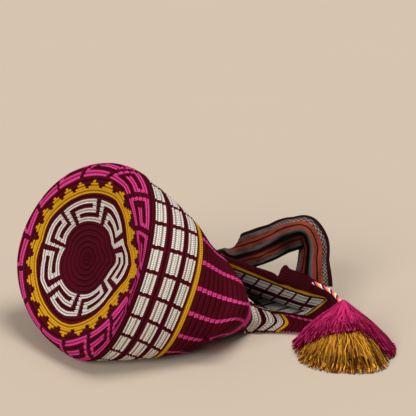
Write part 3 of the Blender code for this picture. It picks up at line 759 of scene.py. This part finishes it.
# strap: numbers of its cloth across the band, which is 1 wide, and along it, in centimetres
TOOTH_STEPS, TOOTH_SIZE = 2.6, 0.035
WANDER_SCALE, WANDER = 22.0, 0.09
THREADS, WARPS = math.pi * 9.0, math.pi * 46.0
DOT_ALONG, DOT_ACROSS, DOT_LEVEL, DOT_MIDDLE, DOT_BRIGHT = 12.6, 74.0, 0.65, 0.45, 2.6
STREAK_ACROSS, STREAK_ALONG = 7.0, 0.35
WOVEN_ROUGHNESS, WOVEN_SPECULAR = 0.85, 0.05


def woven_material(name, stops):
    """stripes with a toothed, slightly wandering edge, small dots in the first grey one"""
    n = Nodes(name)
    u, v = n.stitch_uv()
    steps = n.math("FRACT", n.math("MULTIPLY", v, TOOTH_STEPS))
    tooth = n.math("ABSOLUTE", n.math("SUBTRACT", steps, 0.5))
    shifted = n.math("ADD", u, n.math("MULTIPLY", tooth, TOOTH_SIZE))
    wander = n.math("SUBTRACT", n.noise(WANDER_SCALE, 1.0), 0.5)
    shifted = n.math("MULTIPLY_ADD", wander, WANDER, shifted)
    stretched = n.add("ShaderNodeCombineXYZ")
    n.link(n.math("MULTIPLY", u, STREAK_ACROSS), stretched.inputs[0])
    n.link(n.math("MULTIPLY", v, STREAK_ALONG), stretched.inputs[1])
    streaks = n.noise(1.0, 3.0, stretched.outputs[0])
    ramp = n.add("ShaderNodeValToRGB")
    ramp.color_ramp.interpolation = "CONSTANT"
    elements = ramp.color_ramp.elements
    while len(elements) > 1:
        elements.remove(elements[-1])
    elements[0].position = 0.0
    elements[0].color = (*stops[0][1], 1)
    for place, colour in stops[1:]:
        elements.new(place).color = (*colour, 1)
    n.link(shifted, ramp.inputs["Fac"])
    weave = n.math("MULTIPLY", n.wave(v, THREADS), n.wave(u, WARPS))
    tint = n.vary(ramp.outputs["Color"], weave, 0.45, 1.15)
    grey = n.math("MULTIPLY", n.math("GREATER_THAN", u, stops[1][0]),
                  n.math("LESS_THAN", u, stops[2][0]))
    dots = n.math("MULTIPLY", n.math("SINE", n.math("MULTIPLY", v, DOT_ALONG)),
                  n.math("SINE", n.math("MULTIPLY", u, DOT_ACROSS)))
    dots = n.math("MULTIPLY_ADD", n.math("MULTIPLY", dots, grey), DOT_LEVEL, DOT_MIDDLE)
    tint = n.vary(tint, dots, 0.0, DOT_BRIGHT)
    tint = n.vary(tint, n.math("MULTIPLY_ADD", streaks, 2.2, -0.6), 0.35, 1.30)
    tint = n.vary(tint, n.noise(500.0, 3.0), 0.85, 1.12)
    # times the mesh's colours, which carry the strap's painted crease shade
    tint = n.vary(tint, n.yarn(), 0.0, 1.0)
    return n.finish(tint, WOVEN_ROUGHNESS, WOVEN_SPECULAR, n.bump(weave, 0.5, 0.0005))


# colours of the stripes, and where each begins across the band
WINE, RUST = (0.028, 0.003, 0.005), (0.27, 0.052, 0.028)
GREY, DARK = (0.14, 0.115, 0.105), (0.004, 0.002, 0.002)
STRAP_STOPS = [(0.0, WINE), (0.10, GREY), (0.21, RUST), (0.34, DARK), (0.38, RUST), (0.49, GREY),
               (0.60, WINE), (0.71, RUST), (0.78, DARK), (0.81, RUST), (0.88, GREY), (0.96, DARK)]
strap_cloth = woven_material("woven_strap", STRAP_STOPS)

# the band along its line, creased lengthwise, with a ripple across it
STRAP_ROWS, STRAP_COLUMNS = 420, 33
CREASE_MIDDLE, CREASE_ROUND = 0.6, 0.02
RIPPLE, RIPPLES = 0.03, 26.0
line = np.array(STRAP_LINE)
run = run_of(line[:, :3])
t = np.linspace(0, run[-1], STRAP_ROWS)
smooth = hermite(run, line, t)
centre, across, crease = smooth[:, :3], smooth[:, 3:6], smooth[:, 6]
along = np.gradient(centre, axis=0)
along /= np.linalg.norm(along, axis=1, keepdims=True)
across = across - along * np.sum(across * along, axis=1, keepdims=True)
across /= np.linalg.norm(across, axis=1, keepdims=True)
face = np.cross(across, along)
flank = np.sqrt((STRAP_WIDTH / 2)**2 - crease**2)
places = np.linspace(-1, 1, STRAP_COLUMNS)
ripple = RIPPLE * np.sin(places[None, :] * RIPPLES)
bend = crease[:, None] * (CREASE_MIDDLE - np.sqrt(places[None, :]**2 + CREASE_ROUND)) + ripple
mid = (centre[:, None] + (places[None, :] * flank[:, None])[..., None] * across[:, None]
       + bend[..., None] * face[:, None])
top = mid + face[:, None] * STRAP_THICK / 2
low = mid - face[:, None] * STRAP_THICK / 2
loop = np.concatenate([top, low[:, ::-1]], axis=1)
# the run behind the bag stands on the ground, from row 11 of the line to row 16
STRAP_SINK, STRAP_LOWEST = 0.13, 0.02
loop[..., 2] -= STRAP_SINK * np.interp(t, run[[9, 11, 16, 18]], [0, 1, 1, 0])[:, None]
loop[..., 2] = np.maximum(loop[..., 2], STRAP_LOWEST)
strap_u = np.linspace(0, 1, STRAP_COLUMNS)
strap_u = 1 - np.concatenate([strap_u, np.linspace(1, 0, STRAP_COLUMNS), [0.0]])

# painted shade on the cloth where the band is creased: in the valley of the rising end, under the
# band where it turns over at the top of the arch, and along the edge that lies behind there
TOP_ROW, VALLEY_END = 4, 5
place = np.concatenate([places, places[::-1]])[None, :]
valley = (np.clip((run[VALLEY_END] - t) / 3.0, 0, 1)[:, None]
          * np.exp(-((place + 0.31) / 0.20)**2))
under = np.exp(-((t - run[TOP_ROW] - 0.3) / 2.6)**2)[:, None] * np.clip((0.1 - place) / 0.4, 0, 1)
behind = (np.clip((run[TOP_ROW] - t) / 2.0, 0, 1)[:, None]
          * np.clip((-0.35 - place) / 0.1, 0, 1))
painted_crease_shade = (1 - 0.85 * valley) * (1 - 0.82 * under) * (1 - 0.45 * behind)
painted_crease_shade = np.repeat(painted_crease_shade[:-1, :, None], 3, axis=2)
strap = grid_object("woven_shoulder_strap", loop, painted_crease_shade, (strap_u, t), strap_cloth)
strap.data.flip_normals()
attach(strap, "root")
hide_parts("shoulder_strap")


def tubes(name, paths, radius, colours, material, sides, along=None):
    """one mesh of yarn tubes; paths is (tubes, points, 3), along tints each step"""
    count, steps = paths.shape[:2]
    tangent = np.gradient(paths, axis=1)
    tangent /= np.maximum(np.linalg.norm(tangent, axis=2, keepdims=True), 1e-9)
    ref = np.where(np.abs(tangent[..., 2:3]) > 0.9, np.array([1.0, 0, 0]), np.array([0, 0, 1.0]))
    a = np.cross(tangent, ref)
    a /= np.linalg.norm(a, axis=2, keepdims=True)
    b = np.cross(tangent, a)
    turn = np.arange(sides) / sides * 2 * math.pi
    wide = (np.asarray(radius) * np.ones((count, steps)))[..., None, None]
    p = paths[:, :, None] + wide * (np.cos(turn)[None, None, :, None] * a[:, :, None]
                                    + np.sin(turn)[None, None, :, None] * b[:, :, None])
    index = np.arange(count * steps * sides).reshape(count, steps, sides)
    first, second = index[:, :-1], index[:, 1:]
    quads = np.stack([first, np.roll(first, -1, 2), np.roll(second, -1, 2), second], -1)
    tint = np.ones(steps - 1) if along is None else along
    each = np.repeat((colours[:, None] * tint[None, :, None]).reshape(-1, 3), sides, axis=0)
    return mesh_object(name, p.reshape(-1, 3), quads.reshape(-1, 4), each, material)


YARN_ROUGHNESS, YARN_SPECULAR = 0.65, 0.05


def yarn_material(name):
    """yarn in the colours of the mesh, with fine fibres"""
    n = Nodes(name)
    tint = n.vary(n.yarn(), n.noise(900.0, 2.0), 0.80, 1.15)
    normal = n.bump(n.noise(3000.0), 0.3, 0.0003)
    return n.finish(tint, YARN_ROUGHNESS, YARN_SPECULAR, normal)


yarn = yarn_material("loose_yarn")

# drawstring: four yarns twisted together, one turn in TWIST
CORD_YARN = CORD / 4
TWIST = 2.2
ROUTE_POINTS, PATH_POINTS = 90, 16
knots = np.array(CORD_LINE)
run = run_of(knots)
route = hermite(run, knots, np.linspace(0, run[-1], ROUTE_POINTS))
cord_path = hermite(run, knots, np.linspace(0, run[-1], PATH_POINTS))
tangent = np.gradient(route, axis=0)
tangent /= np.linalg.norm(tangent, axis=1, keepdims=True)
side = np.cross(tangent, np.array([0, 0, 1.0]))
side /= np.linalg.norm(side, axis=1, keepdims=True)
over = np.cross(tangent, side)
spin = run_of(route) / TWIST * 2 * math.pi
paths = []
for q in range(4):
    a = spin + q * math.pi / 2
    paths.append(route + CORD_YARN * (np.cos(a)[:, None] * side + np.sin(a)[:, None] * over))
cord_piece = tubes("twisted_drawstring", np.array(paths), CORD_YARN,
                   np.array([CREAM, GOLD, PINK, MAROON]), yarn, sides=8)
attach(cord_piece, "root")
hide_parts("drawstring")

# tassel
rng = np.random.default_rng(7)
STRAND_POINTS = 20
STRAND_THIN, STRAND_THICK = 0.055, 0.080
SHADE_LOW, SHADE_HIGH = 0.20, 1.70
END_SHADES = np.array([-0.45, -0.70, -0.60, 0.60])
# sideways waves and the wave of the height, as (size, waves); the radius from which they are full
WAVE, CURL, LIFT = (0.20, 6.0), (0.09, 17.0), (0.05, 14.0)
LOOSE_FROM = 2.5
CROWN_RADIUS = 1.1
TIP_DROP, LOWEST_YARN = 0.20, 0.08


def skirt(name, ends, height, count, colour, start, crown, fray, dark, splay, depth_tone, cut):
    """loose yarns from the head down to the outline of their ends, the deeper ones in painted shade

    start and crown are the radius and the extra height at the head, fray the amount by which
    yarns end early and its exponent, dark the painted shade of the deepest, splay the sideways
    spread of the ends, depth_tone the exponents by which the red, green and blue of a yarn in
    painted shade fall, and cut how much the ends' shades show"""
    table = np.array(ends, float)
    angle = (np.arange(count) + rng.uniform(-0.6, 0.6, count)) / count * 360.0
    reach = np.interp(angle, table[:, 0], table[:, 1], period=360.0)
    stop = np.interp(angle, table[:, 0], table[:, 2], period=360.0)
    stop = stop * (1.0 - rng.uniform(0.0, 1.0, count)**fray[1] * fray[0] + 0.03)
    deep = rng.uniform(0.0, 1.0, count)
    turn = np.radians(angle)
    f = np.linspace(0.0, 1.0, STRAND_POINTS)[None, :]
    r = start + (reach * stop - start)[:, None] * f
    phase = rng.uniform(0, 2 * math.pi, (4, count, 1))
    loose = np.clip(r / LOOSE_FROM, 0.0, 1.0)
    sway = (rng.normal(0, WAVE[0], (count, 1)) * np.sin(f * WAVE[1] + phase[0])
            + rng.normal(0, CURL[0], (count, 1)) * np.sin(f * CURL[1] + phase[1])
            + rng.normal(0, splay, (count, 1)) * f**1.5) * loose
    out = np.stack([np.cos(turn), np.sin(turn)], 1)
    lateral = np.stack([-np.sin(turn), np.cos(turn)], 1)
    xy = TASSEL_AXIS + r[..., None] * out[:, None] + sway[..., None] * lateral[:, None]
    z = YARN_REST + 0.05 + height * (1 - np.clip(r / reach[:, None], 0, 1)**SKIRT_FALL)
    z = z + YARN_LAYER * deep[:, None] + crown * np.exp(-(r / CROWN_RADIUS)**2)
    z = z + loose * rng.normal(0, LIFT[0], (count, 1)) * np.sin(f * LIFT[1] + phase[2])
    z = np.maximum(z - TIP_DROP * f**8, LOWEST_YARN)
    paths = np.concatenate([xy, z[..., None]], -1)
    # painted shade, darker the deeper a yarn lies, times a random factor of each yarn that is
    # partly its own tone and partly painted shade between yarns
    shade = (dark + (1 - dark) * deep**2) * rng.uniform(SHADE_LOW, SHADE_HIGH, count)
    wide = rng.uniform(STRAND_THIN, STRAND_THICK, count)[:, None]
    tone = np.minimum(shade, 1.0)[:, None]**(np.array(depth_tone) - 1.0)
    along = np.ones(STRAND_POINTS - 1)
    along[-len(END_SHADES):] += END_SHADES * cut
    colours = shade[:, None] * tone * np.array(colour)[None, :]
    return tubes(name, paths, wide, colours, yarn, sides=4, along=along)


gold_skirt = skirt("tassel_gold_yarn", GOLD_ENDS, GOLD_HEIGHT, count=1900,
                   colour=(0.44, 0.205, 0.018), start=0.9, crown=0.0, fray=(0.36, 1.5), dark=0.25,
                   splay=0.28, depth_tone=(1.0, 1.45, 1.65), cut=0.75)
pink_skirt = skirt("tassel_pink_yarn", PINK_ENDS, PINK_HEIGHT, count=1200,
                   colour=(0.40, 0.017, 0.100), start=0.10, crown=0.45, fray=(0.26, 1.5), dark=0.08,
                   splay=0.40, depth_tone=(1.0, 2.0, 1.5), cut=0.5)
for piece, names in ((gold_skirt, ["tassel_gold"]),
                     (pink_skirt, ["tassel_pink", "tassel_head"])):
    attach(piece, "root")
    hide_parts(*names)

# floor and light, in metres
FLOOR_HALF, FLOOR_DROP = 12, 0.0005
FLOOR_COLOUR = (0.506, 0.418, 0.328, 1.0)
floor_mesh = bpy.data.meshes.new("floor")
floor_mesh.from_pydata([(x * FLOOR_HALF, y * FLOOR_HALF, 0)
                        for x, y in ((-1, -1), (1, -1), (1, 1), (-1, 1))], [], [(0, 1, 2, 3)])
floor = bpy.data.objects.new("floor", floor_mesh)
bpy.context.scene.collection.objects.link(floor)
floor.location.z = -FLOOR_DROP
paper = Nodes("paper_floor")
paper_rgb = paper.add("ShaderNodeRGB")
paper_rgb.outputs[0].default_value = FLOOR_COLOUR
paper_tint = paper.vary(paper_rgb.outputs[0], paper.noise(3.0), 0.99, 1.01)
floor_mesh.materials.append(paper.finish(paper_tint, 1.0, 0.0))
floor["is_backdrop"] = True

SUN_ANGLE = math.radians(30)
SUNS = [("key_sun", 2.4, (0.35, -0.25, 1.0)), ("front_sun", 2.3, (-0.75, -0.60, 0.55))]
WORLD_COLOUR, WORLD_STRENGTH = (1.0, 0.98, 0.96, 1.0), 0.26
for name, energy, direction in SUNS:
    data = bpy.data.lights.new(name, "SUN")
    data.energy = energy
    data.angle = SUN_ANGLE
    sun = bpy.data.objects.new(name, data)
    bpy.context.scene.collection.objects.link(sun)
    sun.rotation_mode = "QUATERNION"
    sun.rotation_quaternion = Vector(direction).to_track_quat("Z", "Y")
world = bpy.data.worlds.new("studio")
bpy.context.scene.world = world
world.use_nodes = True
background = world.node_tree.nodes["Background"]
background.inputs["Color"].default_value = WORLD_COLOUR
background.inputs["Strength"].default_value = WORLD_STRENGTH
bpy.context.scene.view_settings.view_transform = "Standard"

low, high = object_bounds()
